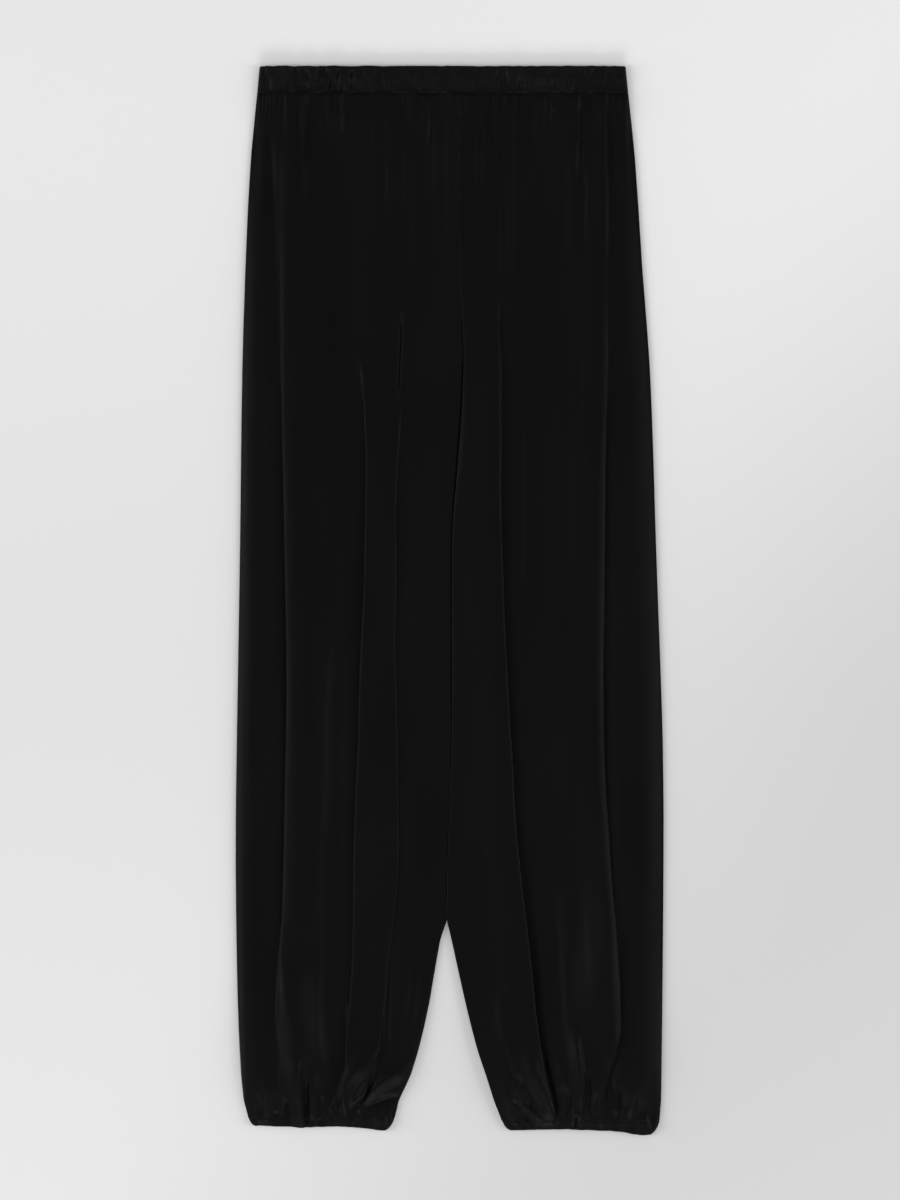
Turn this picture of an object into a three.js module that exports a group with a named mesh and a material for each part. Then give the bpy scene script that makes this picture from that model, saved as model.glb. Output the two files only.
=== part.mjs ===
// Wide-leg trousers in thin black crepe, laid flat on a surface with the front up.
//
// The waist is gathered into an elastic casing and each leg into a narrow elastic hem, so the cloth
// between them falls in long loose folds. Units are millimetres. +Z is up from the surface, +Y points
// from the hems to the waist, and +X points to the wearer's left. "Drop" is the distance down from
// the top edge of the waistband. The origin is on the surface, below the middle of the garment.

import * as THREE from "three";

// ---------------------------------------------------------------- driving dimensions

const WAIST_Y = 534.5; // Y of the waistband's top edge
const BAND_DROP = 27; // depth of the waistband, a casing for 25 mm elastic
const CROTCH_DROP = 285; // front rise, from the top edge to the crotch
const PARTED_DROP = 300; // from here down the legs are fully apart
const HEM_DROP = { right: 1051, left: 1054 }; // where each leg meets its elastic hem
const HEM_DEPTH = 10;

const CLOTH = 1.2; // wall of the panels
const BAND_WALL = 2.2; // cloth, elastic and cloth
const HEM_WALL = 1.8;
const SEAM_GAP = 0.3; // clearance between pieces that are sewn together
const LEG_GAP = 0.6; // clearance between the two legs where they lie side by side

// Height of the middle of each wall above the surface, where the cloth is not folded.
const BACK_REST = CLOTH / 2;
const FRONT_REST = 4.6;
const LEG_SEAM_Z = 2.8;
const BAND_FRONT_Z = 5.8;
const BAND_SEAM_Z = 3.45;
const HEM_FRONT_Z = 5.3;
const HEM_SEAM_Z = 3.1;

// The front comes down from the waistband's height by the first drop, and starts to gather into the
// hem's height at the second.
const SETTLED_DROP = 110;
const GATHERING_DROP = 1020;

// How far the round of a folded edge reaches in from the outline.
const PANEL_ROUND = 4.5;
const CASING_ROUND = 2.6;
const ROUND_ANGLES = [0, 30, 60].map(THREE.MathUtils.degToRad);

// The outer edges of the garment: X of the wearer's right and left side at each drop.
const OUTLINE = [
  { drop: 0, right: -190, left: 176 },
  { drop: 27, right: -192.5, left: 178.7 },
  { drop: 94, right: -199, left: 185.7 },
  { drop: 194, right: -204, left: 192.3 },
  { drop: 314, right: -207.6, left: 201 },
  { drop: 484, right: -209.7, left: 206.7 },
  { drop: 684, right: -213, left: 213.6 },
  { drop: 784, right: -214.1, left: 214.1 },
  { drop: 934, right: -212, left: 212.9 },
  { drop: 1014, right: -208.3, left: 211.9 },
  { drop: 1034, right: -206, left: 211.6 },
  { drop: 1051, right: -201.5, left: 210.5 },
  { drop: 1064, right: -196, left: 207.5 },
];

// The inner edges: the centre seam down to the crotch, and then the inside edge of each leg.
const INSIDE = [
  { drop: 0, right: 11, left: 11 },
  { drop: 194, right: 10, left: 10 },
  { drop: 285, right: 14, left: 14 },
  { drop: 363, right: 11.4, left: 11.4 },
  { drop: 458, right: 3, left: 3 },
  { drop: 663, right: 2.4, left: 2.4 },
  { drop: 806, right: -2.4, left: -2.4 },
  { drop: 855, right: -3, left: -2.6 },
  { drop: 874, right: -9.4, left: 2 },
  { drop: 934, right: -19.7, left: 15.3 },
  { drop: 984, right: -31, left: 28 },
  { drop: 1019, right: -42.4, left: 39.9 },
  { drop: 1034, right: -50.5, left: 44.3 },
  { drop: 1051, right: -54.6, left: 50.6 },
  { drop: 1064, right: -60, left: 57 },
];

// The long folds of the front. Each runs through an X at eight heights, stands "rise" above the
// cloth beside it, and falls away over "west" millimetres on its -X side and "east" on its +X side.
// It rises and runs out gently at its two ends.
const HEIGHTS = {
  waist: 27, hip: 200, thigh: 400, knee: 600, calf: 800, shin: 950, ankle: 985, hem: 1051,
};
const FOLDS = {
  right: [
    {
      name: "side_pleat", from: 90, to: 1051, rise: 3.6, west: 9, east: 60,
      waist: -172, hip: -169, thigh: -163.6, knee: -161, calf: -163.6, shin: -170, ankle: -164.6, hem: -153,
    },
    {
      name: "front_pleat_outer", from: 40, to: 1051, rise: 3.2, west: 7, east: 26,
      waist: -85, hip: -83.6, thigh: -82.6, knee: -89, calf: -96, shin: -102, ankle: -103.6, hem: -107.6,
    },
    {
      name: "front_pleat_inner", from: 300, to: 1045, rise: 2.6, west: 26, east: 8,
      waist: -45, hip: -47, thigh: -55.6, knee: -57.6, calf: -53, shin: -67.6, ankle: -72, hem: -95,
    },
  ],
  left: [
    {
      name: "inseam_panel", from: 290, to: 860, rise: 2.4, west: 30, east: 46,
      waist: 15, hip: 15, thigh: 26, knee: 28, calf: 34, shin: 50, ankle: 60, hem: 78,
    },
    {
      name: "centre_pleat", from: 250, to: 1051, rise: 3.8, west: 44, east: 12,
      waist: 38, hip: 43, thigh: 50.4, knee: 57.4, calf: 71.4, shin: 88, ankle: 96.4, hem: 107.4,
    },
    {
      name: "side_pleat", from: 90, to: 1045, rise: 3.6, west: 62, east: 9,
      waist: 158, hip: 156.4, thigh: 153.4, knee: 153.4, calf: 161, shin: 171, ankle: 156, hem: 149.4,
    },
  ],
};

const FOLD_RUN_IN = 70;
const FOLD_RUN_OUT = 50;

// The cloth stands higher in a soft roll along each edge of a leg, and across it near the gathers.
const EDGE_ROLLS = {
  outside: { rise: 2.4, inset: 13, reach: 14, from: 60, to: 150 },
  inside: { rise: 1.4, inset: 9, reach: 14, from: 285, to: 330 },
};
const GATHER_LIFTS = [
  { name: "below_waistband", drop: 60, above: 33, below: 90, rise: 1.4 },
  { name: "above_hem", drop: 1010, above: 120, below: 40, rise: 2.6 },
];

// Drops of the rings that the panels are lofted through.
const PANEL_RINGS = [
  50, 90, 140, 200, 260, 285, 290, 295, 300, 340, 400, 460, 530, 600, 670, 740, 800, 855, 874, 905,
  934, 960, 985, 1010, 1034,
];
const BAND_ROWS = 3;
const HEM_ROWS = 2;
const BACK_COLUMNS = 5;
const BAND_COLUMNS = 18;
const HEM_COLUMNS = 9;
const PLAIN_INSET = 24; // the one column on the plain cloth by the inside edge
const LEAST_COLUMN = 2; // narrowest space between two columns, where folds crowd together

// The hems dip at one corner, where the elastic turns the cloth over.
const HEM_DIP = {
  right: { start: -90, end: -70, depth: 3 },
  left: { start: 162, end: 190, depth: 5 },
};

// ---------------------------------------------------------------- sizes at one height

const smooth = (from, to, value) => THREE.MathUtils.smoothstep(value, from, to);
const mix = THREE.MathUtils.lerp;

// A cubic through the rows of a table, with the slope at each row taken from its neighbours.
function readTable(table, column, drop) {
  const last = table.length - 1;
  const i = THREE.MathUtils.clamp(table.findIndex((row) => row.drop > drop) - 1, 0, last - 1);
  const at = drop >= table[last].drop ? last - 1 : i;
  const slope = (k) => {
    const before = table[Math.max(k - 1, 0)];
    const after = table[Math.min(k + 1, last)];
    return (after[column] - before[column]) / (after.drop - before.drop);
  };
  const [low, high] = [table[at], table[at + 1]];
  const span = high.drop - low.drop;
  const t = THREE.MathUtils.clamp((drop - low.drop) / span, 0, 1);
  const [t2, t3] = [t * t, t * t * t];
  return (
    (2 * t3 - 3 * t2 + 1) * low[column] +
    (t3 - 2 * t2 + t) * span * slope(at) +
    (3 * t2 - 2 * t3) * high[column] +
    (t3 - t2) * span * slope(at + 1)
  );
}

// 0 above the crotch, where the panels meet flat at the centre seam, and 1 once the legs are apart.
const parting = (drop) => smooth(CROTCH_DROP, PARTED_DROP, drop);

// The edge of a panel turns from level at the centre seam to upright where the legs have parted.
const innerTurn = (drop) => (parting(drop) * Math.PI) / 2;

// One row per named height, so that a fold's path can be read as a table.
const foldPath = (fold) => Object.entries(HEIGHTS).map(([name, drop]) => ({ drop, x: fold[name] }));
for (const fold of Object.values(FOLDS).flat()) fold.path = foldPath(fold);
const foldX = (fold, drop) => readTable(fold.path, "x", drop);

// 1 on the line, and 0 at the reach on each side and beyond, with a soft foot.
function bump(offset, below, above) {
  const t = Math.min(Math.abs(offset) / (offset < 0 ? below : above), 1);
  return (1 - t) * (1 - t) * (1 + 2 * t);
}

// Folds run out before they reach the casings.
const openCloth = (side, drop) =>
  smooth(BAND_DROP, SETTLED_DROP, drop) * (1 - smooth(GATHERING_DROP, HEM_DROP[side], drop));

// Height of the middle of a front panel's wall, away from its edges.
function frontHeight(side, x, drop) {
  const fromBand = mix(BAND_FRONT_Z, FRONT_REST, smooth(BAND_DROP, SETTLED_DROP, drop));
  let z = mix(fromBand, HEM_FRONT_Z, smooth(GATHERING_DROP, HEM_DROP[side], drop));
  for (const fold of FOLDS[side]) {
    const runIn = smooth(fold.from, fold.from + FOLD_RUN_IN, drop);
    const runOut = 1 - smooth(fold.to - FOLD_RUN_OUT, fold.to, drop);
    z += fold.rise * runIn * runOut * bump(x - foldX(fold, drop), fold.west, fold.east);
  }
  const edges = { outside: readTable(OUTLINE, side, drop), inside: readTable(INSIDE, side, drop) };
  for (const [name, { rise, inset, reach, from, to }] of Object.entries(EDGE_ROLLS)) {
    const fromCrest = Math.abs(x - edges[name]) - inset;
    z += rise * smooth(from, to, drop) * openCloth(side, drop) * bump(fromCrest, reach, reach);
  }
  for (const lift of GATHER_LIFTS) z += lift.rise * bump(drop - lift.drop, lift.above, lift.below);
  return z;
}

// ---------------------------------------------------------------- walls of cloth

// A closed wall of even thickness around a grid of points. Each ring holds its points in order of X,
// and the direction in which its section sets off from its first point and arrives at its last. The
// wall ends upright and square at its first and last ring. Its upper side faces +Z.
function wallGeometry(rings, thickness) {
  const rows = rings.length;
  const columns = rings[0].points.length;
  const lastRow = rows - 1;
  const lastColumn = columns - 1;
  const point = (i, j) => rings[i].points[j];
  const towardsWaist = new THREE.Vector3(0, 1, 0);
  const positions = [];
  for (const face of [1, -1]) {
    for (let i = 0; i < rows; i++) {
      for (let j = 0; j < columns; j++) {
        const across = [0, lastColumn].includes(j)
          ? rings[i][j === 0 ? "setsOff" : "arrives"].clone()
          : point(i, j + 1).clone().sub(point(i, j - 1));
        const up = [0, lastRow].includes(i)
          ? towardsWaist
          : point(i - 1, j).clone().sub(point(i + 1, j));
        const normal = across.cross(up).normalize();
        positions.push(...point(i, j).clone().addScaledVector(normal, (face * thickness) / 2));
      }
    }
  }
  const index = (face, i, j) => face * rows * columns + i * columns + j;
  const triangles = [];
  const quad = (a, b, c, d) => triangles.push(a, b, c, a, c, d);
  for (let i = 0; i < lastRow; i++) {
    for (let j = 0; j < lastColumn; j++) {
      quad(index(0, i + 1, j), index(0, i + 1, j + 1), index(0, i, j + 1), index(0, i, j));
      quad(index(1, i, j), index(1, i, j + 1), index(1, i + 1, j + 1), index(1, i + 1, j));
    }
    quad(index(0, i, 0), index(1, i, 0), index(1, i + 1, 0), index(0, i + 1, 0));
    quad(
      index(0, i + 1, lastColumn), index(1, i + 1, lastColumn),
      index(1, i, lastColumn), index(0, i, lastColumn),
    );
  }
  for (let j = 0; j < lastColumn; j++) {
    quad(index(0, 0, j), index(0, 0, j + 1), index(1, 0, j + 1), index(1, 0, j));
    quad(
      index(1, lastRow, j), index(1, lastRow, j + 1),
      index(0, lastRow, j + 1), index(0, lastRow, j),
    );
  }
  const geometry = new THREE.BufferGeometry();
  geometry.setAttribute("position", new THREE.Float32BufferAttribute(positions, 3));
  geometry.setIndex(triangles);
  geometry.computeVertexNormals();
  return geometry;
}

// Columns of a section whose ends are rounded: some on each quarter ellipse, the rest between them.
// "lift" is 0 at the seam on the edge, 1 where the round ends and between.
function roundedColumns(start, end, round, between) {
  const onRound = ROUND_ANGLES.map((angle) => ({
    inset: round * (1 - Math.cos(angle)), lift: Math.sin(angle),
  }));
  const startEdge = onRound.map(({ inset, lift }) => ({ x: start + inset, lift, atEnd: "start" }));
  const endEdge = onRound.map(({ inset, lift }) => ({ x: end - inset, lift, atEnd: "end" }));
  return [...startEdge, ...between.map((x) => ({ x, lift: 1 })), ...endEdge.reverse()];
}

// The directions in which a section leaves its first point and reaches its last. A turn of 0 is
// level, and a quarter turn is upright.
function sectionEnds(startTurn, endTurn, isFront) {
  const rises = isFront ? 1 : -1;
  return {
    setsOff: new THREE.Vector3(Math.cos(startTurn), 0, rises * Math.sin(startTurn)),
    arrives: new THREE.Vector3(Math.cos(endTurn), 0, -rises * Math.sin(endTurn)),
  };
}

// Evenly spaced places between two ends, both included.
const spread = (start, end, count) =>
  Array.from({ length: count }, (_, k) => mix(start, end, k / (count - 1)));

// ---------------------------------------------------------------- front and back panels

// The first and last X of the middle of a leg's wall. The wall's outer face is on the outline.
function legEnds(side, drop, wall) {
  const inwards = side === "right" ? 1 : -1;
  const clearance = mix(SEAM_GAP, LEG_GAP, parting(drop)) / 2;
  const innerWall = (wall / 2) * Math.sin(innerTurn(drop));
  const outer = readTable(OUTLINE, side, drop) + (inwards * wall) / 2;
  const inner = readTable(INSIDE, side, drop) - inwards * (clearance + innerWall);
  return side === "right" ? [outer, inner] : [inner, outer];
}

// Columns of a front panel: the crest of each long fold, the foot of its steep flank and half way
// down its gentle one, the crest of the roll outside, and one where the cloth inside is plain.
function frontColumns(side, drop, start, end) {
  const inwards = side === "right" ? 1 : -1;
  const [outer, inner] = side === "right" ? [start, end] : [end, start];
  const folds = FOLDS[side].flatMap((fold) => {
    const crest = foldX(fold, drop);
    const steepIsWest = fold.west < fold.east;
    return steepIsWest
      ? [crest - fold.west, crest, crest + fold.east / 2]
      : [crest - fold.west / 2, crest, crest + fold.east];
  });
  const roll = outer + inwards * (EDGE_ROLLS.outside.inset - PANEL_ROUND);
  const plain = inner - inwards * PLAIN_INSET;
  const sorted = [start, end, ...folds, roll, plain].sort((a, b) => a - b);
  const last = sorted.length - 1;
  return sorted.map((x, k) =>
    THREE.MathUtils.clamp(x, start + LEAST_COLUMN * k, end - LEAST_COLUMN * (last - k)),
  );
}

// One leg's front or back panel, lofted through a ring at each drop. Above the crotch its inner edge
// runs on level to the centre seam, and below it that edge is rounded to the inseam.
function panel(side, face) {
  const isFront = face === "front";
  const seamZ = LEG_SEAM_Z + (isFront ? SEAM_GAP : -SEAM_GAP) / 2;
  const innerEnd = side === "right" ? "end" : "start";
  const drops = [BAND_DROP + SEAM_GAP, ...PANEL_RINGS, HEM_DROP[side] - SEAM_GAP];
  const rings = drops.map((drop) => {
    const [start, end] = legEnds(side, drop, CLOTH);
    const [first, last] = [start + PANEL_ROUND, end - PANEL_ROUND];
    const between = isFront
      ? frontColumns(side, drop, first, last)
      : spread(first, last, BACK_COLUMNS);
    const points = roundedColumns(start, end, PANEL_ROUND, between).map(({ x, lift, atEnd }) => {
      const raised = atEnd === innerEnd ? mix(1, lift, parting(drop)) : lift;
      const z = isFront ? frontHeight(side, x, drop) : BACK_REST;
      return new THREE.Vector3(x, WAIST_Y - drop, mix(seamZ, z, raised));
    });
    const turns = side === "right" ? [Math.PI / 2, innerTurn(drop)] : [innerTurn(drop), Math.PI / 2];
    return { points, ...sectionEnds(...turns, isFront) };
  });
  return wallGeometry(rings, CLOTH);
}

// ---------------------------------------------------------------- waistband and hems

// The front or back half of a flattened casing that holds elastic.
function casing({ face, drops, endsAt, dipAt, wall, frontZ, seamZ, columns }) {
  const isFront = face === "front";
  const edgeZ = seamZ + (isFront ? SEAM_GAP : -SEAM_GAP) / 2;
  const flatZ = isFront ? frontZ : wall / 2;
  const rings = drops.map((drop, row) => {
    const [start, end] = endsAt(drop);
    const between = spread(start + CASING_ROUND, end - CASING_ROUND, columns);
    const points = roundedColumns(start, end, CASING_ROUND, between).map(({ x, lift }) => {
      const dip = (dipAt(x) * row) / (drops.length - 1);
      return new THREE.Vector3(x, WAIST_Y - drop - dip, mix(edgeZ, flatZ, lift));
    });
    return { points, ...sectionEnds(Math.PI / 2, Math.PI / 2, isFront) };
  });
  return wallGeometry(rings, wall);
}

function waistband(face) {
  const halfWall = BAND_WALL / 2;
  return casing({
    face,
    drops: spread(0, BAND_DROP, BAND_ROWS + 1),
    endsAt: (drop) => [
      readTable(OUTLINE, "right", drop) + halfWall,
      readTable(OUTLINE, "left", drop) - halfWall,
    ],
    dipAt: () => 0,
    wall: BAND_WALL,
    frontZ: BAND_FRONT_Z,
    seamZ: BAND_SEAM_Z,
    columns: BAND_COLUMNS,
  });
}

function hem(side, face) {
  const dip = HEM_DIP[side];
  return casing({
    face,
    drops: spread(HEM_DROP[side], HEM_DROP[side] + HEM_DEPTH, HEM_ROWS + 1),
    endsAt: (drop) => legEnds(side, drop, HEM_WALL),
    dipAt: (x) => dip.depth * smooth(dip.start, dip.end, x),
    wall: HEM_WALL,
    frontZ: HEM_FRONT_Z,
    seamZ: HEM_SEAM_Z,
    columns: HEM_COLUMNS,
  });
}

// ---------------------------------------------------------------- the garment

const crepe = () => new THREE.MeshStandardMaterial({ color: 0x131314, roughness: 0.85, metalness: 0 });

const trousers = new THREE.Group();
trousers.name = "trousers";

function sew(name, geometry) {
  const piece = new THREE.Mesh(geometry, crepe());
  piece.name = name;
  trousers.add(piece);
}

for (const face of ["front", "back"]) {
  sew(`waistband_${face}`, waistband(face));
  for (const side of ["right", "left"]) {
    sew(`${face}_${side}`, panel(side, face));
    sew(`hem_${face}_${side}`, hem(side, face));
  }
}

export default trousers;
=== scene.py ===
# %% [markdown]
# # Wide-leg trousers in black crepe, laid flat
#
# A pair of trousers lies on a pale surface with its front up. The waist is gathered into a casing
# for wide elastic, and each leg into a narrow elastic hem, so the thin cloth between them falls in
# long loose folds.
#
# Cloth could be made here by letting a simulation drop a pattern on the floor. But then chance would
# decide where each fold goes, and folds are the whole look of this piece. So every panel is a surface
# worked out with numpy: a grid of points whose height above the floor is a sum of simple shapes, each
# with a size and a place that a dressmaker could point at. Lengths in this script are millimetres,
# and become metres only when a mesh is made. "Drop" is the distance down from the top of the
# waistband.

import bpy
import numpy as np
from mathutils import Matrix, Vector


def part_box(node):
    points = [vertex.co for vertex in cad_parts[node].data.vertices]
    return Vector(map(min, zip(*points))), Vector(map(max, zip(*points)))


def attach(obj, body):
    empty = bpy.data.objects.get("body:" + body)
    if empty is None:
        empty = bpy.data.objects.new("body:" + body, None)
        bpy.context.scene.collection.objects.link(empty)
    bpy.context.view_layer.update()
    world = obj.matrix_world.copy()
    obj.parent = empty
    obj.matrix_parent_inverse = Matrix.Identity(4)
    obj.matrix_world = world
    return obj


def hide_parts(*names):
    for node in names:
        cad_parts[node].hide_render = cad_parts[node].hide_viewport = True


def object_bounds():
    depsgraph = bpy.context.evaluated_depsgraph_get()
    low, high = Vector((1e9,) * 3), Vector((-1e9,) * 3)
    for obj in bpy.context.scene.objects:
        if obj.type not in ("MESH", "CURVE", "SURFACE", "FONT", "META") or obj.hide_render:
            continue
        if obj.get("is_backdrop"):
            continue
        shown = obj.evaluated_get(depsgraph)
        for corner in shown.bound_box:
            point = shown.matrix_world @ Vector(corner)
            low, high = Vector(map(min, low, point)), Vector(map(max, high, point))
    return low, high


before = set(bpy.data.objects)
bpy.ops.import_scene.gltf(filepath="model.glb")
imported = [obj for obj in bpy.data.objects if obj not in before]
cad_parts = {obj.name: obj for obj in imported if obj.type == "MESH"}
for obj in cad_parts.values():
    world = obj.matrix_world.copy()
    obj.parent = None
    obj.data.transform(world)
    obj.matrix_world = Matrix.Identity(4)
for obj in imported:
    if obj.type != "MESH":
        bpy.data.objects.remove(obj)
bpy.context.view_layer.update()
MM = 0.001
WAIST_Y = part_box("waistband_front")[1].y / MM
BAND_DROP = WAIST_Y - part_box("waistband_front")[0].y / MM
print("waistband from", round(WAIST_Y, 1), "and", round(BAND_DROP, 1), "deep")

# %% [markdown]
# ## Shapes that everything is made of
#
# Three small curves do nearly all the work. `smooth` goes gently from 0 to 1, `bump` is a soft hill
# that may be steeper on one side, and `through` draws a cubic through given places. Cloth has
# no corners, so none of these has a kink in it.

# %% Smooth steps, hills and curves
def smooth(start, end, value):
    """0 up to the start, 1 from the end on, and 3t^2 - 2t^3 between them."""
    t = np.clip((value - start) / (end - start), 0, 1)
    return t * t * (3 - 2 * t)


def bump(offset, below, above):
    """(1 - t)^2 (1 + 2t): 1 at offset 0, and 0 from "below" on the minus side and "above" on the plus."""
    t = np.abs(offset) / np.where(offset < 0, below, above)
    t = np.minimum(t, 1)
    return (1 - t) ** 2 * (1 + 2 * t)


def mix(first, second, share):
    """The first value at share 0, the second at share 1."""
    return first + (second - first) * share


def through(places, values, at):
    """A cubic from each place to the next, whose slope at a place is that of its two neighbours."""
    places, values = np.asarray(places, float), np.asarray(values, float)
    slopes = np.gradient(values, places)
    at = np.clip(at, places[0], places[-1])
    k = np.clip(np.searchsorted(places, at, side="right") - 1, 0, len(places) - 2)
    span = places[k + 1] - places[k]
    t = (at - places[k]) / span
    start, end = 2 * t**3 - 3 * t**2 + 1, 3 * t**2 - 2 * t**3
    leave, arrive = t**3 - 2 * t**2 + t, t**3 - t**2
    return start * values[k] + end * values[k + 1] + span * (leave * slopes[k] + arrive * slopes[k + 1])


# %% [markdown]
# ## Chance ripples
#
# No two gathers on a real waist are alike. A net of chance numbers with a soft step between
# neighbours gives waves of any length and width. The seed is fixed, so that the cloth lies the same
# way on each run.

# %% Ripples
NET_X, NET_DROP = -260, -20
NET_WIDTH, NET_LENGTH = 520, 1130


def ripples(seed, x, drop, across, along):
    """Waves from -1 to 1: chance numbers on a net of across by along mm, smooth steps between them."""
    column, row = (x - NET_X) / across, (drop - NET_DROP) / along
    shape = int(NET_LENGTH / along) + 3, int(NET_WIDTH / across) + 3
    net = np.random.default_rng(seed).uniform(-1, 1, shape)
    i, j = np.floor(row).astype(int), np.floor(column).astype(int)
    s, t = smooth(0, 1, row - i), smooth(0, 1, column - j)
    upper = mix(net[i, j], net[i, j + 1], t)
    lower = mix(net[i + 1, j], net[i + 1, j + 1], t)
    return mix(upper, lower, s)


def creased(waves):
    """Waves folded about 0, so that their tops are narrow ridges: 1 - 2|wave|."""
    return 1 - 2 * np.abs(waves)


# %% [markdown]
# ## Edges, read from the frame
#
# The trousers keep the outline that the CAD part has. Cutting a node's own edges at a height gives
# its lowest and highest X there, and a curve through some of those is the edge of the cloth.

# %% Read the outline of each panel
def edges_at(node, drops):
    """Lowest and highest X of a CAD node at each drop: where its mesh's edges cross that height."""
    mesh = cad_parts[node].data
    points = np.empty(len(mesh.vertices) * 3)
    mesh.vertices.foreach_get("co", points)
    points = points.reshape(-1, 3) / MM
    ends = np.empty(len(mesh.edges) * 2, int)
    mesh.edges.foreach_get("vertices", ends)
    a, b = points[ends[0::2]], points[ends[1::2]]
    drop_a, drop_b = WAIST_Y - a[:, 1], WAIST_Y - b[:, 1]
    level = np.asarray(drops, float)[:, None]
    crosses = (drop_a - level) * (drop_b - level) <= 0
    crosses &= np.abs(drop_b - drop_a) > 1e-6
    t = (level - drop_a) / np.where(crosses, drop_b - drop_a, 1)
    x = a[:, 0] + t * (b[:, 0] - a[:, 0])
    return np.where(crosses, x, np.inf).min(1), np.where(crosses, x, -np.inf).max(1)


SIDES = ("right", "left")
SEAM_GAP = 0.3
HEM_DEPTH = 10
LEGS = {}
for side in SIDES:
    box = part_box(f"front_{side}")
    hem_drop = WAIST_Y - box[0].y / MM + SEAM_GAP
    read = np.r_[BAND_DROP + 0.4, 40:285:20, 285, 292, 300:850:25, 855:hem_drop - 2:9, hem_drop - 0.4]
    low, high = edges_at(f"front_{side}", read)
    LEGS[side] = {"hem_drop": hem_drop, "read": read, "low": low, "high": high}
    print(side, "leg ends at", round(hem_drop, 1), "and is", round((high - low).max(), 1), "wide at most")


def leg_edges(side, drop):
    """X of the -X and +X edge of a leg at each drop."""
    leg = LEGS[side]
    return through(leg["read"], leg["low"], drop), through(leg["read"], leg["high"], drop)


# %% [markdown]
# ## The long folds
#
# Cloth that is gathered at both ends has more width than it needs between them. The spare width
# stands up in a few long pleats that lean over, so each has a crisp edge on one side and falls away
# gently on the other. A pleat here is a hill of height `rise`. Its top, the `crown`, is a little way
# in from the edge, so that the cloth turns over in a round shoulder that catches the light. The hill
# falls over `gentle` mm on one side and `steep` mm on the other, and a sideways push, `lean`, draws
# the steep side out over its own foot. There the cloth sinks into a `valley` as wide as `foot`.
#
# `faces` says which way the edge looks: -1 for -X, 1 for +X. Each point of `path` is X and drop of
# the edge, and the share of the full height that the pleat has there. The pleats near the side
# seams are broad and round. Those down the middle of each leg are sharp, and at the waist and at
# the hems all of them sink into the gathers.

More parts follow.
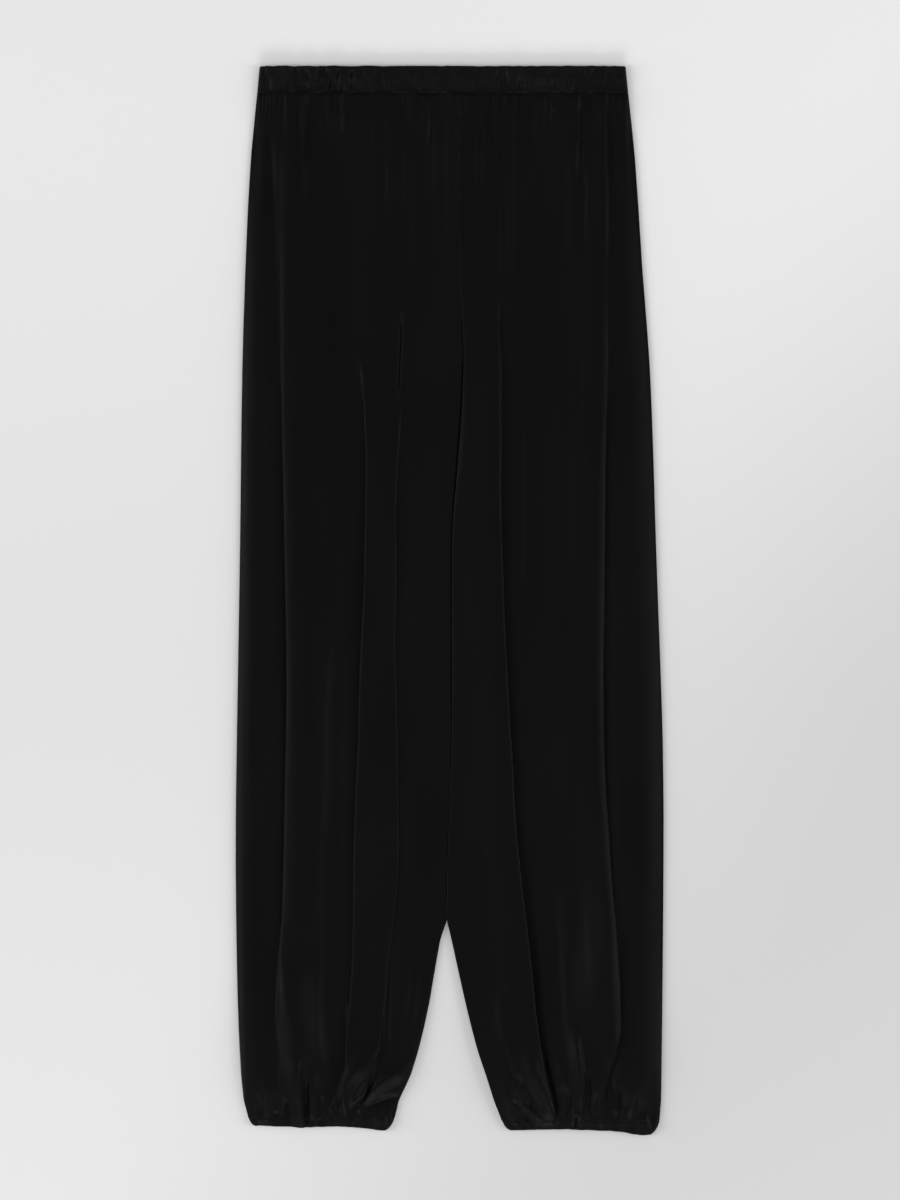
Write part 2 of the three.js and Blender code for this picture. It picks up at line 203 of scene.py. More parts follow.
# %% The long folds of the front
FOLDS = {
    "right": [
        {
            "name": "side_pleat", "faces": -1, "seed": 86,
            "rise": 7.6, "crown": 7, "steep": 22, "gentle": 48, "lean": 11, "valley": 1.2, "foot": 14,
            "path": [
                (-164, 60, 0), (-163.6, 124, 0.22), (-163.4, 160, 0.3), (-163.4, 210, 0.42),
                (-165.2, 268, 0.62), (-166, 330, 0.8), (-166, 412, 1), (-165, 466, 1),
                (-163.6, 530, 1), (-163, 600, 1.05), (-163.2, 664, 1), (-164, 720, 1.05),
                (-164.8, 772, 1.05), (-166.2, 820, 1.05), (-167, 850, 1), (-168.4, 882, 0.8),
                (-169, 916, 0.68), (-169, 945, 0.6), (-166.4, 975, 0.54), (-163, 1000, 0.5),
                (-158.5, 1028, 0.4), (-156, 1048, 0.2), (-154, 1062, 0),
            ],
        },
        {
            "name": "side_panel", "faces": 1, "seed": 19,
            "rise": 0.9, "crown": -2, "steep": 8, "gentle": 24, "lean": 1, "valley": 0.8, "foot": 12,
            "path": [
                (-122, 560, 0), (-122.4, 600, 0.5), (-125.4, 650, 0.6), (-125.8, 708, 0.6),
                (-127.3, 744, 0.6), (-129.6, 790, 0.5), (-130.2, 852, 0.6), (-129.9, 900, 0.8),
                (-130.2, 940, 0.8), (-129.5, 965, 0.7), (-128, 990, 0.5), (-125, 1012, 0),
            ],
        },
        {
            "name": "front_pleat_outer", "faces": -1, "seed": 75,
            "rise": 5.8, "crown": -1.8, "steep": 4.6, "gentle": 36, "lean": 6, "valley": 1.6, "foot": 20,
            "path": [
                (-85, 290, 0), (-84.4, 320, 0.35), (-83.5, 350, 0.65), (-83, 390, 0.85),
                (-83.4, 430, 0.9), (-84, 475, 0.85), (-85, 528, 0.8), (-87, 570, 0.75),
                (-89, 620, 0.7), (-90.4, 680, 0.7), (-92.4, 720, 0.7), (-94.4, 780, 0.7),
                (-94.4, 830, 0.65), (-95, 880, 0.55), (-98, 930, 0.65), (-102.5, 970, 0.9),
                (-104.5, 1000, 1.1), (-108, 1028, 0.7), (-109, 1046, 0),
            ],
        },
        {
            "name": "front_pleat_inner", "faces": 1, "seed": 45,
            "rise": 2.8, "crown": -2, "steep": 3.6, "gentle": 16, "lean": 4.5, "valley": 1.4, "foot": 18,
            "path": [
                (-51, 320, 0), (-53, 380, 0.5), (-54.5, 451, 0.8), (-53.8, 500, 0.9),
                (-54.5, 545, 0.85), (-56, 575, 0.7), (-54.5, 631, 0.6), (-53.8, 690, 0.6),
                (-53, 750, 0.65), (-52.8, 805, 0.75), (-56.5, 847, 0.7), (-61.5, 883, 0.6),
                (-64.8, 919, 0.65), (-67.7, 955, 0.9), (-70.5, 985, 1.1), (-78, 1006, 1),
                (-88, 1028, 0.6), (-94, 1044, 0),
            ],
        },
    ],
    "left": [
        {
            "name": "centre_pleat", "faces": 1, "seed": 88,
            "rise": 7.6, "crown": -1.5, "steep": 6, "gentle": 54, "lean": 6, "valley": 2.4, "foot": 18,
            "path": [
                (44, 225, 0), (47, 266, 0.5), (49.2, 302, 0.6), (49, 338, 0.6), (49.6, 374, 0.65),
                (49.6, 410, 0.65), (50, 446, 0.7), (51.8, 482, 0.85), (53, 518, 0.9),
                (54.3, 554, 0.9), (56.1, 590, 0.9), (58, 626, 0.95), (60.2, 662, 1), (62.6, 698, 1),
                (64.4, 734, 1), (67, 770, 1), (70.8, 806, 1), (75.5, 842, 1.05), (80, 878, 1.15),
                (84, 914, 1.2), (87, 950, 1.15), (91.8, 986, 1.0), (97.8, 1022, 0.9),
                (102, 1046, 0.5), (105, 1062, 0),
            ],
        },
        {
            "name": "side_pleat", "faces": 1, "seed": 82,
            "rise": 7.2, "crown": 5, "steep": 17, "gentle": 58, "lean": 9, "valley": 1.4, "foot": 16,
            "path": [
                (152, 70, 0), (152.2, 120, 0.14), (152.4, 156, 0.2), (152.6, 192, 0.22),
                (153, 228, 0.3), (153.6, 264, 0.44), (154.8, 300, 0.6), (155.2, 336, 0.76),
                (155.4, 372, 0.88), (155.2, 408, 0.94), (155, 470, 0.95), (154.4, 516, 0.92),
                (154, 552, 0.9), (153.4, 588, 0.95), (154, 640, 1.05), (154.4, 690, 1),
                (156.2, 732, 1), (158.8, 768, 1), (160.9, 804, 1), (164, 840, 1), (167.1, 876, 1),
                (169.9, 912, 1), (170.9, 945, 1), (169.6, 966, 0.9), (163.6, 984, 0.7),
                (157, 1000, 0.6), (153.8, 1020, 0.5), (151, 1045, 0.3), (150, 1060, 0),
            ],
        },
    ],
}

# %% The cross-section of a fold
CROWN_ROUND = 2
GENTLE_POWER = 1.4
LEAN_CENTRE = -2
LEAN_IN = 18


def fold_shape(fold, inwards, share):
    """Lift and push of a pleat at a distance inwards from where it is anchored.

    The gentle side is (1 - t)^1.4, with a round top, and the steep side a bump. The valley is a bump
    at the foot of the steep side. The push is a bump too, as wide outwards as it is high.
    """
    offset = inwards - fold["crown"]
    away = np.sqrt(offset**2 + CROWN_ROUND**2) - CROWN_ROUND
    away = np.clip(away / fold["gentle"], 0, 1)
    lift = fold["rise"] * np.where(offset > 0, (1 - away) ** GENTLE_POWER, bump(offset, fold["steep"], 1))
    foot = offset + fold["steep"]
    lift = lift - fold["valley"] * bump(foot, fold["foot"], fold["foot"])
    push = fold["lean"] * bump(inwards - LEAN_CENTRE, 1.1 * fold["lean"], LEAN_IN)
    return share * lift, share * push


for fold in FOLDS["right"] + FOLDS["left"]:
    inwards = np.linspace(LEAN_CENTRE - 0.66 * fold["lean"], 20, 400)
    fold["reach"] = (fold_shape(fold, inwards, 1)[1] - inwards).max()
    print(f"{fold['name']:18s} reaches {fold['reach']:.1f} mm out from where it is anchored")


def fold_share(fold, drop):
    """The share of its full height that a fold has at each drop, with slow chance changes."""
    _, places, shares = zip(*fold["path"])
    chance = ripples(fold["seed"], np.zeros_like(drop), drop, 50, 110)
    share = np.interp(drop, places, shares, left=0, right=0)
    return np.maximum(share, 0) * (1 + 0.1 * chance)


def fold_x(fold, drop):
    """X where a fold is anchored: its path, moved inwards by as far as the lean will reach out again."""
    x, places, _ = zip(*fold["path"])
    return through(places, x, drop) - fold["faces"] * fold["reach"] * fold_share(fold, drop)


def long_folds(side, x, drop):
    """How far the long folds lift the cloth, and how far they push it along X."""
    lift, push = np.zeros_like(x), np.zeros_like(x)
    for fold in FOLDS[side]:
        inwards = fold["faces"] * (fold_x(fold, drop) - x)
        up, out = fold_shape(fold, inwards, fold_share(fold, drop))
        lift, push = lift + up, push + fold["faces"] * out
    return lift, push


# %% [markdown]
# ## Short creases
#
# Between the long folds are the small things that make cloth look real: gathers that start at the
# waist seam and die away, pinches and hooked ridges over the hem elastic. Each is a soft ridge or
# trough along a line of given points, with its own height, width and tapered ends. A width of
# two numbers is for one that falls away differently to the left and to the right. They are kept as
# tables, because on real cloth each one differs.

# %% Draw a crease
def crease(x, drop, points, height, width):
    """Height times a bump over the distance to a smooth line through the points, less at its ends."""
    line = np.asarray(points, float)
    marks = np.arange(len(line))
    fine = np.linspace(0, marks[-1], 8 * (len(line) - 1) + 1)
    line = np.stack([through(marks, line[:, k], fine) for k in (0, 1)], axis=1)
    left, right = np.broadcast_to(width, 2)
    box_low, box_high = line.min(0) - max(left, right), line.max(0) + max(left, right)
    near = (x > box_low[0]) & (x < box_high[0]) & (drop > box_low[1]) & (drop < box_high[1])
    lift = np.zeros_like(x)
    if not near.any():
        return lift
    spots = np.stack([x[near], drop[near]], axis=1)[:, None]
    start, step = line[:-1], np.diff(line, axis=0)
    share = np.clip(((spots - start) * step).sum(2) / (step**2).sum(1), 0, 1)
    distance = np.linalg.norm(spots - start - share[..., None] * step, axis=2)
    nearest = distance.argmin(1)
    rows = np.arange(len(nearest))
    along = (nearest + share[rows, nearest]) / len(step)
    taper = smooth(-0.02, 0.3, along) * (1 - smooth(0.7, 1.02, along))
    offset = x[near] - (start + share[..., None] * step)[rows, nearest, 0]
    lift[near] = height * taper * bump(np.copysign(distance[rows, nearest], offset), left, right)
    return lift


def creases(table, x, drop):
    """The sum of a table of creases."""
    return sum(crease(x, drop, line, height, width) for height, width, line in table)


# %% Gathers below the waistband
# Height, width, line of X and drop.
WAIST_CREASES = [
    (-1.4, 6, [(-145, 30), (-145, 60), (-146, 104)]),
    (-1.3, 6, [(-179, 60), (-178, 110), (-176, 170), (-177, 250)]),
    (3.6, (24, 8), [(-112, 8), (-112, 40), (-111, 76)]),
    (4, (34, 14), [(-152, 0), (-152, 60), (-148, 150)]),
    (1.2, (16, 8), [(14, 10), (14, 50)]),
    (2.2, (20, 4), [(127, 8), (127, 60), (125, 124)]),
    (2.4, (22, 4), [(155, 8), (155, 80), (154, 200)]),
    (-1.2, 12, [(-104, 60), (-101, 150), (-99, 250), (-98, 420)]),
    (-1.3, 4.5, [(-67, 30), (-66, 90), (-67, 170)]),
    (1.2, 4, [(-75, 50), (-74, 70), (-74, 96)]),
    (1.1, 4, [(-60, 96), (-60, 115), (-61, 136)]),
    (-1, (3, 9), [(-46, 30), (-44, 90), (-43, 150), (-42, 190), (-43, 240)]),
    (-2.4, 1.8, [(-47.4, 236), (-48.6, 272), (-50.4, 306), (-52, 345)]),
    (-1.9, (1.8, 7), [(-20, 32), (-20, 90), (-21, 175)]),
    (1.6, (12, 6), [(-24, 16), (-23, 50), (-24, 80)]),
    (1.2, 8, [(0, 30), (1, 110), (0, 210)]),
    (-1.2, (2, 8), [(28, 27), (28, 80), (27, 160)]),
    (-0.9, (3, 9), [(46, 30), (49, 95), (52, 180), (50, 240)]),
    (-0.8, (4, 12), [(67, 24), (66, 100), (66, 200), (67, 280), (68, 350)]),
    (-1.4, 7, [(69, 320), (71, 400), (70, 480), (68, 580)]),
    (0.7, 6, [(59, 27), (60, 70), (61, 150), (60, 220)]),
    (-1.4, 3, [(99.6, 34), (100, 48), (100, 62)]),
    (1.4, 3.5, [(103, 34), (103, 50), (103, 66)]),
    (1, 7, [(120, 80), (122, 130), (121, 200)]),
    (-1.6, 4.5, [(131, 32), (131, 66), (130, 120)]),
    (-1.3, 5, [(134, 100), (134, 130), (133, 190)]),
    (-1.6, 5, [(159, 28), (159, 70), (158, 130)]),
    (0.6, 6, [(142, 150), (142, 190), (143, 250)]),
    (1.1, 8, [(174, 27), (177, 70), (181, 130)]),
    (1.3, 7, [(90, 27), (90, 48), (90, 90)]),
]

# %% Pinches over the hem of the right leg
# Height, width, line of X and drop.
RIGHT_HEM_CREASES = [
    (5.2, (14, 30), [(-157, 886), (-156, 930), (-150, 970), (-148, 1012)]),
    (5.4, (13, 4), [(-149, 984), (-148, 1012), (-147, 1040), (-147, 1098)]),
    (-1.6, 3, [(-142, 1010), (-142, 1030), (-143, 1056)]),
    (2.8, (6, 10), [(-138, 1000), (-136.6, 1016), (-137, 1036), (-139, 1086)]),
    (-1.6, 4, [(-150, 1054), (-136, 1054), (-122, 1055)]),
    (-2, 15, [(-117, 940), (-116, 985), (-117, 1020), (-119, 1056)]),
    (2, 3, [(-112, 1030), (-116, 1038), (-121, 1047)]),
    (4.6, (12, 9), [(-76, 970), (-87, 996), (-99, 1016), (-105, 1036), (-106, 1070)]),
    (3.2, 6, [(-73, 990), (-81, 1010), (-89, 1026), (-100, 1046)]),
    (-3.4, 4, [(-75, 1010), (-82, 1024), (-92, 1038), (-99, 1045)]),
    (3.8, 12, [(-34, 1000), (-56, 1008), (-74, 1020), (-88, 1038)]),
    (-2.6, 5, [(-48, 1030), (-66, 1034), (-84, 1042)]),
    (1.2, 9, [(-71, 1040), (-69, 1058)]),
    (-1.8, 5, [(-172, 986), (-173, 1020), (-172, 1046)]),
    (-1.6, 3.5, [(-173, 1045), (-172, 1050)]),
    (-1.5, 4, [(-160, 1030), (-161, 1044), (-160, 1060)]),
    (1.8, 6, [(-184, 1006), (-184, 1032), (-183, 1060)]),
    (1.4, 5, [(-194, 1030), (-192, 1046), (-190, 1060)]),
    (-1.4, 5, [(-62, 896), (-62, 940), (-64, 990)]),
    (1.3, 4, [(-100.6, 932), (-100.6, 946), (-102, 962)]),
    (1.4, 8, [(-34, 900), (-36, 930), (-44, 975)]),
    (-1.5, 4, [(-128, 1026), (-129, 1042), (-128, 1060)]),
    (1.5, 4, [(-62, 1040), (-61, 1050), (-61, 1062)]),
    (-1.5, 3, [(-90, 1044), (-92, 1052), (-92, 1062)]),
    (1.3, 3, [(-98, 1018), (-104, 1034), (-103, 1050)]),
]

# %% Pinches over the hem of the left leg
# Height, width, line of X and drop.
LEFT_HEM_CREASES = [
    (3.2, 8, [(76, 970), (79, 1000), (88, 1022), (96, 1040), (101, 1062)]),
    (-4, 5, [(68, 1006), (74, 1022), (80, 1034), (85, 1044)]),
    (-2.4, 3.5, [(60, 1032), (70, 1044), (84, 1060)]),
    (2.4, 7, [(56, 1020), (60, 1040), (66, 1060)]),
    (1.8, 3, [(74, 1036), (82, 1046), (94, 1056)]),
    (-2.2, 5, [(91, 974), (98, 1010), (104, 1034), (107, 1060)]),
    (5, (12, 6), [(124, 950), (128, 985), (131, 1010), (131.4, 1034), (131, 1088)]),
    (2, 9, [(119, 1046), (124, 1050), (130, 1054)]),
    (-2.2, 4, [(136, 1000), (137.4, 1026), (138, 1050)]),
    (-2.6, 2.6, [(126, 1046), (126, 1056), (126, 1066)]),
    (-2.2, 8, [(170, 984), (161, 1004), (158, 1026), (160, 1050)]),
    (2.2, 3.5, [(166, 1012), (166, 1032), (166, 1052)]),
    (-1.6, 3, [(170, 1018), (170, 1034), (170, 1052)]),
    (2.2, 6, [(190, 1014), (184, 1032), (179, 1056)]),
    (2, 8, [(194, 1046), (194, 1070)]),
    (2.6, (12, 6), [(160, 960), (158, 985), (157, 1010)]),
    (4.4, (30, 22), [(168, 770), (158, 850), (150, 900), (140, 978)]),
    (-1.6, 9, [(104, 800), (106, 870), (109, 930), (112, 980)]),
    (1.6, 7, [(111, 994), (112, 1008), (112, 1026)]),
    (1.4, 9, [(50, 924), (53, 956), (60, 996)]),
    (-1.6, 4, [(55, 980), (59, 1000), (66, 1016)]),
    (-1.6, 3.5, [(118, 1020), (119, 1040), (118, 1062)]),
    (-1.5, 3.5, [(143, 1024), (142, 1046), (142, 1066)]),
    (1.5, 4, [(176, 1040), (174, 1054), (174, 1068)]),
    (1.4, 3.5, [(151, 1026), (150, 1044), (151, 1064)]),
]
HEM_CREASES = {"right": RIGHT_HEM_CREASES, "left": LEFT_HEM_CREASES}
print(sum(map(len, (WAIST_CREASES, RIGHT_HEM_CREASES, LEFT_HEM_CREASES))), "creases placed by hand")


# %% [markdown]
# ## Fine gathers
#
# Elastic draws the cloth up into ridges 3 or 4 mm apart. They die away within a few centimetres and
# run together into broader ones, which reach further. Three sets of ripples at each elastic do
# that: the finest are folded into ridges and fade first. Faint streaks run the whole length.

# %% Gathers that fade away from an elastic
# Seed, height, distance it fades over, mm across, mm along, slant, whether folded into ridges.
WAIST_GATHERS = [
    (3, 0.75, 26, 3.6, 30, 0, True),
    (4, 0.75, 70, 7.5, 60, 0.02, False),
    (5, 0.6, 190, 13, 150, 0, False),
]
HEM_GATHERS = [
    (6, 0.7, 9, 3.4, 16, 0, True),
    (7, 0.8, 30, 7, 26, 0, False),
    (8, 0.5, 80, 14, 50, 0, False),
]
# Seed, height, mm across, mm along.
STREAKS = [(9, 0.16, 6, 190), (10, 0.26, 13, 260), (12, 0.4, 34, 210)]


def faded(table, x, drop, distance):
    """The sum of a table of gathers, each times e^(-distance / fade)."""
    total = 0
    for seed, height, fade, across, along, slant, ridged in table:
        waves = ripples(seed, x + slant * drop, drop, across, along)
        total = total + height * np.exp(-distance / fade) * (creased(waves) if ridged else waves)
    return total


def from_elastics(side, drop):
    """Distances down from the waist seam and up from the hem seam."""
    return np.maximum(drop - BAND_DROP, 0), np.maximum(LEGS[side]["hem_drop"] - drop, 0)


def fine_gathers(side, x, drop):
    """Gathers at both elastics, the waist's higher near the right side seam, and streaks all along."""
    below, above = from_elastics(side, drop)
    waist = faded(WAIST_GATHERS, x, drop, below) * mix(1.3, 1, smooth(-150, -105, x))
    hem = faded(HEM_GATHERS, x, drop, above)
    return waist + hem + sum(height * ripples(seed, x, drop, *size) for seed, height, *size in STREAKS)


# %% [markdown]
# ## Tucks in the waist seam
#
# The seam is sewn with the elastic stretched, and puckers when it lets go. Here and there it draws
# the edge of the panel down, and a short dark dash shows between the panel and the waistband.

# %% How deep the waist seam is drawn in
# From X, to X, share of the depth added.
WAIST_TUCKS = [
    (-201, -193, 0.8), (-188, -182, 0.5), (-152, -147, 0.5), (-132, -109, 1), (-97, -80, 0.9),
    (-60, -54, 0.9), (-31, -14, 1), (2, 27, 0.9), (41, 45, 0.7), (54, 76, 1), (93, 98, 0.8),
    (115, 128, 0.9), (149, 175, 0.7),
]
TUCK_ENDS = 2
TUCK_LENGTH = 3.4
TUCK_DEPTH = 1.5


def tucked(x):
    """Share of the depth along X: 0.2, and more at each tuck, with soft ends, made uneven by ripples."""
    share = 0.2
    for start, end, more in WAIST_TUCKS:
        begun = smooth(start - TUCK_ENDS, start + TUCK_ENDS, x)
        ended = smooth(end - TUCK_ENDS, end + TUCK_ENDS, x)
        share = share + more * begun * (1 - ended)
    return share * (1 + 0.5 * ripples(35, x, 0 * x, 3, 400))


# %% [markdown]
# ## Rolls along the edges
#
# Along its side seams and inner seams the front turns round to the back. The outer edges fall away in
# a broad curve from cloth that stands a little higher, and that curve is what gives each leg its
# body. Of the inner edges, the left leg's lies on top of the right one's.

# %% Height of the rolls
OUTER_ROLL = {"right": (18, 5.0), "left": (30, 7.2)}
SIDE_SWELL = 4.0


def edge_rolls(side, x, drop):
    """Outside, a swell that ends 84 mm in, less depth (1 - t)^2 at the edge. Inside, a bump at 6 mm."""
    low, high = leg_edges(side, drop)
    outer, inner = (x - low, high - x) if side == "right" else (high - x, x - low)
    open_cloth = smooth(20, 90, drop) * (1 - smooth(1020, 1056, drop))
    wide, deep = OUTER_ROLL[side]
    outside = SIDE_SWELL * smooth(30, 190, drop) * (1 - smooth(34, 84, outer))
    outside = outside - deep * (1 - np.clip(outer / wide, 0, 1)) ** 2
    inner_rise = -1.0 if side == "right" else mix(1.4, 0, smooth(380, 480, drop))
    inside = inner_rise * smooth(290, 360, drop) * bump(inner - 6, 6, 18)
    return open_cloth * (outside + inside)


# %% [markdown]
# ## Height of the front
#
# Away from its folds the front lies about 5 mm above the floor, because the back and the air between
# them are under it. It swells just below the waist and over the hems, where the gathers hold it up.
# To this are added all the shapes above. Where they dip, the front comes to rest on the back.

# %% Height of the front at any place
FRONT_REST = 5.2
BAND_FRONT_Z = 5.8
HEM_FRONT_Z = 4.9
SETTLED_DROP = 110
GATHERING_DROP = 1020
LOWEST_FRONT = 2.8
# Height, drop of the top, length of the slope above it and below it.
SWELLS = [(1.2, 62, 35, 90), (1.5, BAND_DROP, 1, 40), (4.2, 1000, 120, 60)]


def rest_on(z, lowest, softness):
    """The higher of two heights with a round turn: (sum + root of (difference^2 + softness^2)) / 2."""
    return (z + lowest + np.sqrt((z - lowest) ** 2 + softness**2)) / 2


def front_height(side, x, drop):
    """The resting height, plus swells, folds, creases, gathers and rolls, and never under the lowest."""
    z = mix(BAND_FRONT_Z, FRONT_REST, smooth(BAND_DROP, SETTLED_DROP, drop))
    z = mix(z, HEM_FRONT_Z, smooth(GATHERING_DROP, LEGS[side]["hem_drop"], drop))
    for height, top, before, after in SWELLS:
        z = z + height * bump(drop - top, before, after)
    z = z + creases(WAIST_CREASES, x, drop) + creases(HEM_CREASES[side], x, drop)
    z = z + fine_gathers(side, x, drop) + edge_rolls(side, x, drop)
    z = z - TUCK_DEPTH * tucked(x) * bump(drop - BAND_DROP, 1, TUCK_LENGTH)
    lift, push = long_folds(side, x, drop)
    return rest_on(z + lift, LOWEST_FRONT, 1), push


# %% [markdown]
# ## A wall of cloth
#
# Every piece is closed, so that it has a real thickness from all sides. `wall` takes the middle of
# the cloth as a grid of points and moves it half a thickness along its normals to each side, and
# `closed_faces` joins the two surfaces round the rim. A Solidify modifier could do that, but here
# the thickness differs from row to row. `add_piece` turns the grids into a mesh with a UV map in
# metres of cloth, which the weave follows.

# %% Walls and meshes
def normals(points):
    """Across times down for every grid point, which is upwards for cloth that lies flat."""
    across, down = np.gradient(points, axis=1), np.gradient(points, axis=0)
    normal = np.cross(down, across)
    return normal / np.linalg.norm(normal, axis=2, keepdims=True)


def wall(points, half):
    """The upper and lower surface: the middle plus and minus half a thickness along its normals."""
    half = np.broadcast_to(half, points.shape[:2])[..., None]
    offset = normals(points) * half
    return points + offset, points - offset


def closed_faces(rows, columns):
    """Quads of an upper grid, of a lower grid turned over, and of the rim that joins them."""
    index = np.arange(rows * columns).reshape(rows, columns)
    under = index + rows * columns
    corners = [index[:-1, :-1], index[1:, :-1], index[1:, 1:], index[:-1, 1:]]
    upper = np.stack([c.ravel() for c in corners], axis=1)
    faces = [upper, upper[:, ::-1] + rows * columns]
    rims = [
        (index[0], under[0]), (index[-1, ::-1], under[-1, ::-1]),
        (index[::-1, 0], under[::-1, 0]), (index[:, -1], under[:, -1]),
    ]
    for top, bottom in rims:
        faces.append(np.stack([top[:-1], top[1:], bottom[1:], bottom[:-1]], axis=1))
    return np.concatenate(faces)


SHARP_DEGREES = 50


def mesh_from(name, points, faces, uv):
    """A mesh of quads from arrays of points in mm, and a UV for each point."""
    mesh = bpy.data.meshes.new(name)
    mesh.vertices.add(len(points))
    mesh.vertices.foreach_set("co", (points * MM).ravel())
    mesh.loops.add(faces.size)
    mesh.loops.foreach_set("vertex_index", faces.ravel())
    mesh.polygons.add(len(faces))
    mesh.polygons.foreach_set("loop_start", np.arange(0, faces.size, 4))
    mesh.update(calc_edges=True)
    mesh.uv_layers.new(name="cloth").data.foreach_set("uv", uv[faces.ravel()].ravel())
    mesh.shade_smooth()
    mesh.set_sharp_from_angle(angle=np.radians(SHARP_DEGREES))
    if mesh.validate(verbose=True):
        print(name, "had faults")
    return mesh


def add_object(name, mesh):
    """An object at the origin that rides on the garment's one body."""
    piece = bpy.data.objects.new(name, mesh)
    bpy.context.scene.collection.objects.link(piece)
    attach(piece, "root")
    return piece


def cloth_size(points):
    """The cloth's length across and down, and its area, all measured along the folds, in metres."""
    across = np.linalg.norm(np.diff(points, axis=1), axis=2)
    down = np.linalg.norm(np.diff(points, axis=0), axis=2)
    width, length = across.sum(1), down.sum(0)
    corner = np.cross(points[1:, 1:] - points[:-1, :-1], points[1:, :-1] - points[:-1, 1:])
    area = np.linalg.norm(corner, axis=2).sum() / 2
    return width.max() * MM, length.max() * MM, area * MM**2


def add_piece(name, points, half, nodes):
    """A closed wall of cloth that replaces some CAD nodes, and what its cloth measures."""
    upper, lower = wall(points, half)
    rows, columns = points.shape[:2]
    across = np.linalg.norm(np.diff(points, axis=1, prepend=points[:, :1]), axis=2).cumsum(1)
    down = np.linalg.norm(np.diff(points, axis=0, prepend=points[:1]), axis=2).cumsum(0)
    down = np.broadcast_to(down.mean(1, keepdims=True), across.shape)
    uv = np.stack([across - across.mean(1, keepdims=True), -down], axis=2).reshape(-1, 2) * MM
    both = np.concatenate([upper.reshape(-1, 3), lower.reshape(-1, 3)])
    mesh = mesh_from(name, both, closed_faces(rows, columns), np.concatenate([uv, uv]))
    piece = add_object(name, mesh)
    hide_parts(*nodes)
    size = cloth_size(points)
    print(f"{name:22s} {2 * len(mesh.polygons):7d} triangles, cloth {size[0]:.3f} x {size[1]:.3f} m,"
          f" z {both[:, 2].min():.2f} to {both[:, 2].max():.2f} mm")
    return piece, size


# %% [markdown]
# ## The front panels
#
# A plain square grid would cut across the creases and make steps in them. Here the columns of the
# grid follow the long folds from waist to hem, as the grain of the cloth does, and crowd together
# near each crest. The columns at each end go round a quarter ellipse, from the seam at the edge up to
# the front. Above the crotch the inner edge meets the other leg in a flat centre seam instead. Below
# it the two legs touch, and the left leg's edge rolls a little way over the right one.

# %% Rows and columns of a panel
CROTCH_DROP = 285
PARTED_DROP = 300
CLOTH_HALF = 0.28
SEAM_Z = 2.8
ROUND_STEPS = np.radians(np.linspace(0, 90, 13)[:-1])
OUTER_ROUND = 6
INNER_ROUND = {"right": 9, "left": 2.6}
CENTRE_SEAM_ROUND = 2.0
GUIDE_SPACE = 3.0


def rows_of_panel(first, last, count):
    """Drops of the rows, up to four times closer together near each elastic than in the middle."""
    fine = np.linspace(first, last, 2000)
    weight = 1 + 2.2 * np.exp(-(fine - first) / 50) + 3.2 * np.exp(-(last - fine) / 45)
    total = np.cumsum(weight)
    total = (total - total[0]) / (total[-1] - total[0])
    return np.interp(np.linspace(0, 1, count), total, fine)


def between(guides, counts):
    """Columns between guide lines: s - 0.6 sin(2 pi s) / 2 pi, so that they crowd near each guide."""
    columns = []
    for k, count in enumerate(counts):
        s = np.arange(count) / count
        s = s - 0.6 * np.sin(2 * np.pi * s) / (2 * np.pi)
        columns.append(guides[:, k, None] + (guides[:, k + 1] - guides[:, k])[:, None] * s)
    return np.concatenate([*columns, guides[:, -1:]], axis=1)


def parting(drop):
    """0 above the crotch and 1 once the legs are apart."""
    return smooth(CROTCH_DROP, PARTED_DROP, drop)


def with_round_ends(low, high, low_round, high_round, middle):
    """Columns with a quarter ellipse at each end, and each one's lift from the seam: the angle's sine."""
    at_low = low + low_round * (1 - np.cos(ROUND_STEPS))
    at_high = high - high_round * (1 - np.cos(ROUND_STEPS[::-1]))
    lift = np.concatenate([np.sin(ROUND_STEPS), np.ones(middle.shape[1]), np.sin(ROUND_STEPS[::-1])])
    return np.concatenate([at_low, middle, at_high], axis=1), lift


def columns_of_leg(side, drop, inset, inner_lines, per_mm):
    """X of every column at every drop, and the lift of each column."""
    low, high = leg_edges(side, drop)
    touching = mix(SEAM_GAP / 2, SEAM_GAP, parting(drop)) - 0.02
    low, high = (low, high + touching) if side == "right" else (low - touching, high)
    low, high = low + inset, high - inset
    inner_round = mix(CENTRE_SEAM_ROUND, INNER_ROUND[side], parting(drop))
    outer_round = np.full_like(drop, OUTER_ROUND)
    left, right = (outer_round, inner_round) if side == "right" else (inner_round, outer_round)
    ends = [low + left, *inner_lines, high - right]
    guides = np.sort(np.stack(ends, axis=1), axis=1)
    space = GUIDE_SPACE * np.arange(len(ends))
    guides = np.maximum(guides, guides[:, :1] + space)
    guides = np.minimum(guides, guides[:, -1:] - space[::-1])
    counts = np.maximum(np.round(np.diff(guides, axis=1).mean(0) * per_mm), 4).astype(int)
    low, high, left, right = (value[:, None] for value in (low, high, left, right))
    return with_round_ends(low, high, left, right, between(guides, counts))


def inner_half(side, count):
    """True for the columns of the half that is next to the other leg."""
    middle = np.arange(count) > count / 2
    return middle if side == "right" else ~middle


# %% The front panels
CENTRE_SEAM_DEPTH = 0.7
GUIDING_LEAN = 4
EDGE_HOLDS = 14
OVERHANG = 1.4


